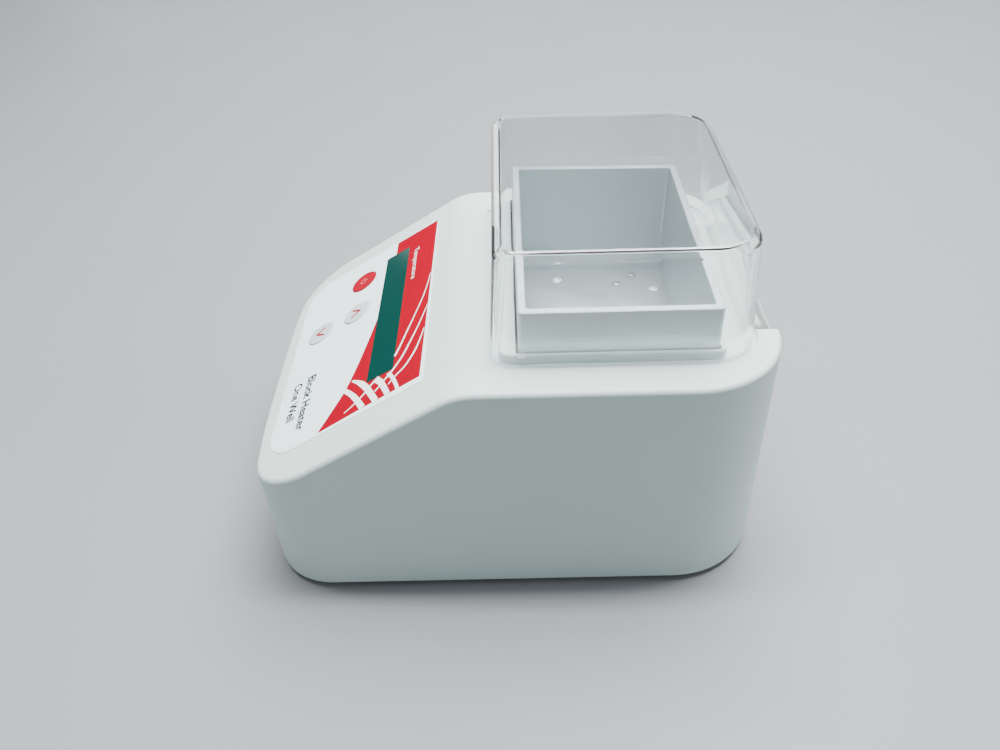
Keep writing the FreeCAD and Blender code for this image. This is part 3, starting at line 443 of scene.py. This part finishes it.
# sizes at the foot of the cover, in mm
COVER_LOW = 99.1
COVER_TOP = 144.3
COVER_HALF = 60.0
COVER_FRONT = -6.2
COVER_BACK = 90.8
FRONT_RADIUS = 8.0
BACK_RADIUS = 17.5
LEAST_RADIUS = 0.8
WALL = 2.0

# how far each wall leans in over the full height, in mm
SIDE_LEAN = 0.6
FRONT_LEAN = 2.3
BACK_LEAN = 3.0

CORNER_STEPS = 16
WALL_STEPS = 8
EDGE_STEPS = 6


def cover_ring(inset, share, pull):
    """Plan of the cover at a share of its height, drawn in by inset and pull."""
    half = COVER_HALF - SIDE_LEAN * share - inset - pull
    front = COVER_FRONT + FRONT_LEAN * share + inset + pull
    back = COVER_BACK - BACK_LEAN * share - inset - pull
    small = max(FRONT_RADIUS - inset - pull, LEAST_RADIUS)
    large = max(BACK_RADIUS - inset - pull, LEAST_RADIUS)
    corners = [
        (half - small, front + small, small, -90), (half - large, back - large, large, 0),
        (-half + large, back - large, large, 90), (-half + small, front + small, small, 180),
    ]
    points = []
    for cx, cy, radius, start in corners:
        for i in range(CORNER_STEPS + 1):
            angle = math.radians(start + 90 * i / CORNER_STEPS)
            points.append((cx + radius * math.cos(angle), cy + radius * math.sin(angle)))
    return points


def cover_profile(top, leg, radius):
    """(share of height, pull, height) up one wall, then over the broken top edge.

    The edge is a 45 degree facet of the given leg, rounded where it meets wall and top."""
    steps = [(0.0, 0.0, COVER_LOW)]
    rise = COVER_TOP - COVER_LOW
    reach = leg + radius * math.tan(math.radians(22.5))
    for i in range(1, WALL_STEPS + 1):
        z = COVER_LOW + (top - reach - COVER_LOW) * i / WALL_STEPS
        steps.append(((z - COVER_LOW) / rise, 0.0, z))
    for i in range(1, EDGE_STEPS + 1):
        angle = math.radians(45 * i / EDGE_STEPS)
        z = top - reach + radius * math.sin(angle)
        steps.append(((z - COVER_LOW) / rise, radius * (1 - math.cos(angle)), z))
    for i in range(EDGE_STEPS + 1):
        angle = math.radians(45 + 45 * i / EDGE_STEPS)
        z = top - radius * (1 - math.sin(angle))
        steps.append(((z - COVER_LOW) / rise, reach - radius * math.cos(angle), z))
    return steps


def cover_skin(bm, inset, top, leg, radius):
    """One face of the cover's wall, closed at the top. Returns its lowest row of vertices."""
    rings = []
    for share, pull, z in cover_profile(top, leg, radius):
        plan = cover_ring(inset, share, pull)
        rings.append([bm.verts.new(Vector((x, y, z)) * MM) for x, y in plan])
    for low, high in zip(rings, rings[1:]):
        bridge(bm, low, high)
    bm.faces.new(rings[-1])
    return rings[0]


def build_cover():
    """The clear cover as a thin shell. Its cut rim is opaque grey, a painted shade for the dark
    line at the cover's foot.
    """
    bm = bmesh.new()
    outer = cover_skin(bm, 0.0, COVER_TOP, 2.8, 1.5)
    inner = cover_skin(bm, WALL, COVER_TOP - WALL, 1.7, 0.9)
    # the rim faces carry the painted shade of the cover's foot
    for face in bridge(bm, outer, inner):
        face.material_index = 1
    item = to_object("clear_cover", bm, CLEAR, 35.0)
    item.data.materials.append(RIM_PAINTED_SHADE)
    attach(item, "lid")
    return item


# the barrel that turns on the hinge pins, and the ramp above it, in mm
BARREL_Y = 95.8
BARREL_Z = 97.0
BARREL_RADIUS = 2.85
BARREL_STEPS = 20
TONGUE_HALF = 39.2
GUSSET_THICK = 1.6
TONGUE_BEVEL = 0.25


def build_tongue():
    """Hinge tongue: a hollow ramp from the back wall down to the barrel on the pins."""
    profile = []
    for i in range(BARREL_STEPS + 1):
        angle = math.radians(-215 + 250 * i / BARREL_STEPS)
        profile.append((BARREL_Y + BARREL_RADIUS * math.cos(angle),
                        BARREL_Z + BARREL_RADIUS * math.sin(angle)))
    profile += [(94.5, 104.6), (91.3, 111.6), (90.3, 112.9), (89.95, 112.9)]
    profile += [(90.1, 111.0), (92.9, 104.2), (95.0, 100.6)]
    bm = bmesh.new()
    prism(bm, at_x(-TONGUE_HALF, profile), at_x(TONGUE_HALF, profile))
    # gussets close the two ends of the ramp
    gusset = [(90.75, 100.2), (94.0, 100.2), (92.6, 104.0), (90.0, 110.4)]
    for x in (-TONGUE_HALF, TONGUE_HALF - GUSSET_THICK):
        prism(bm, at_x(x, gusset), at_x(x + GUSSET_THICK, gusset))
    bmesh.ops.recalc_face_normals(bm, faces=bm.faces)
    edges = [e for e in bm.edges if abs(e.verts[0].co.x - e.verts[1].co.x) < 1e-7]
    bmesh.ops.bevel(bm, geom=edges, offset=TONGUE_BEVEL * MM, segments=2, affect="EDGES",
                    clamp_overlap=True)
    item = to_object("cover_tongue", bm, FROST, 35.0)
    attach(item, "lid")


cover = build_cover()
build_tongue()
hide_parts("lid_cover")


# ------------------------------------------------------------ room and light

FLOOR_HALF = 1.7
WELL_MOUTH = (0, 0.04, 0.14)


def build_floor():
    """A plain pale floor."""
    bm = bmesh.new()
    signs = ((-1, -1), (1, -1), (1, 1), (-1, 1))
    bm.faces.new([bm.verts.new((x * FLOOR_HALF, y * FLOOR_HALF, 0)) for x, y in signs])
    paint = finish("floor_paint", (0.215, 0.228, 0.238), 0.55, vary=0.015, tone_scale=3.0)
    floor = to_object("floor", bm, paint, 40.0)


def area_light(name, where, target, size_x, size_y, power):
    """A rectangular soft light that faces its target. Sizes in metres, power in watts."""
    data = bpy.data.lights.new(name, "AREA")
    data.shape = "RECTANGLE"
    data.size = size_x
    data.size_y = size_y
    data.energy = power
    item = bpy.data.objects.new(name, data)
    item.location = where
    item.rotation_euler = (Vector(target) - Vector(where)).to_track_quat("-Z", "Y").to_euler()
    SCENE.collection.objects.link(item)


def build_world():
    """A faint cool light from all round."""
    world = bpy.data.worlds.new("studio")
    world.use_nodes = True
    back = world.node_tree.nodes["Background"]
    back.inputs["Color"].default_value = (0.88, 0.94, 1.0, 1)
    back.inputs["Strength"].default_value = 0.42
    SCENE.world = world


CAMERA_PLACE = (0.3124, 0.0012, 0.2955)
CAMERA_AZIMUTH = math.radians(90.781)
CAMERA_ELEVATION = math.radians(38.3)
CAMERA_ROLL = math.radians(-1.825)
CAMERA_LENS = 32.48
SENSOR_WIDTH = 36


def build_camera():
    """The camera of the photograph: place, aim, roll and field of view."""
    level = math.cos(CAMERA_ELEVATION)
    back = Vector((math.sin(CAMERA_AZIMUTH) * level, -math.cos(CAMERA_AZIMUTH) * level,
                   math.sin(CAMERA_ELEVATION)))
    right = (-back).cross(Vector((0, 0, 1))).normalized()
    up = right.cross(-back)
    turned_right = right * math.cos(CAMERA_ROLL) + up * math.sin(CAMERA_ROLL)
    turned_up = up * math.cos(CAMERA_ROLL) - right * math.sin(CAMERA_ROLL)
    data = bpy.data.cameras.new("photo_camera")
    data.sensor_width = SENSOR_WIDTH
    data.lens = CAMERA_LENS
    item = bpy.data.objects.new("photo_camera", data)
    axes = Matrix((turned_right, turned_up, back)).transposed()
    item.matrix_world = Matrix.Translation(CAMERA_PLACE) @ axes.to_4x4()
    SCENE.collection.objects.link(item)
    SCENE.camera = item


build_floor()
area_light("key_light", (-0.38, 0.22, 1.05), (0, 0, 0.05), 0.9, 0.9, 33.0)
area_light("top_strip", (-0.02, 0.04, 1.05), WELL_MOUTH, 1.0, 0.12, 22.0)
area_light("side_fill", (0.9, 0.1, 1.2), (0, 0.04, 0.1), 0.7, 0.7, 1.2)
area_light("far_panel", (-1.3, 0.1, 0.26), WELL_MOUTH, 1.8, 0.34, 5.0)
area_light("back_panel", (0.0, 1.3, 0.5), WELL_MOUTH, 1.6, 0.5, 6.0)
area_light("front_panel", (-0.3, -1.3, 0.6), WELL_MOUTH, 1.4, 0.4, 3.0)
build_world()
build_camera()
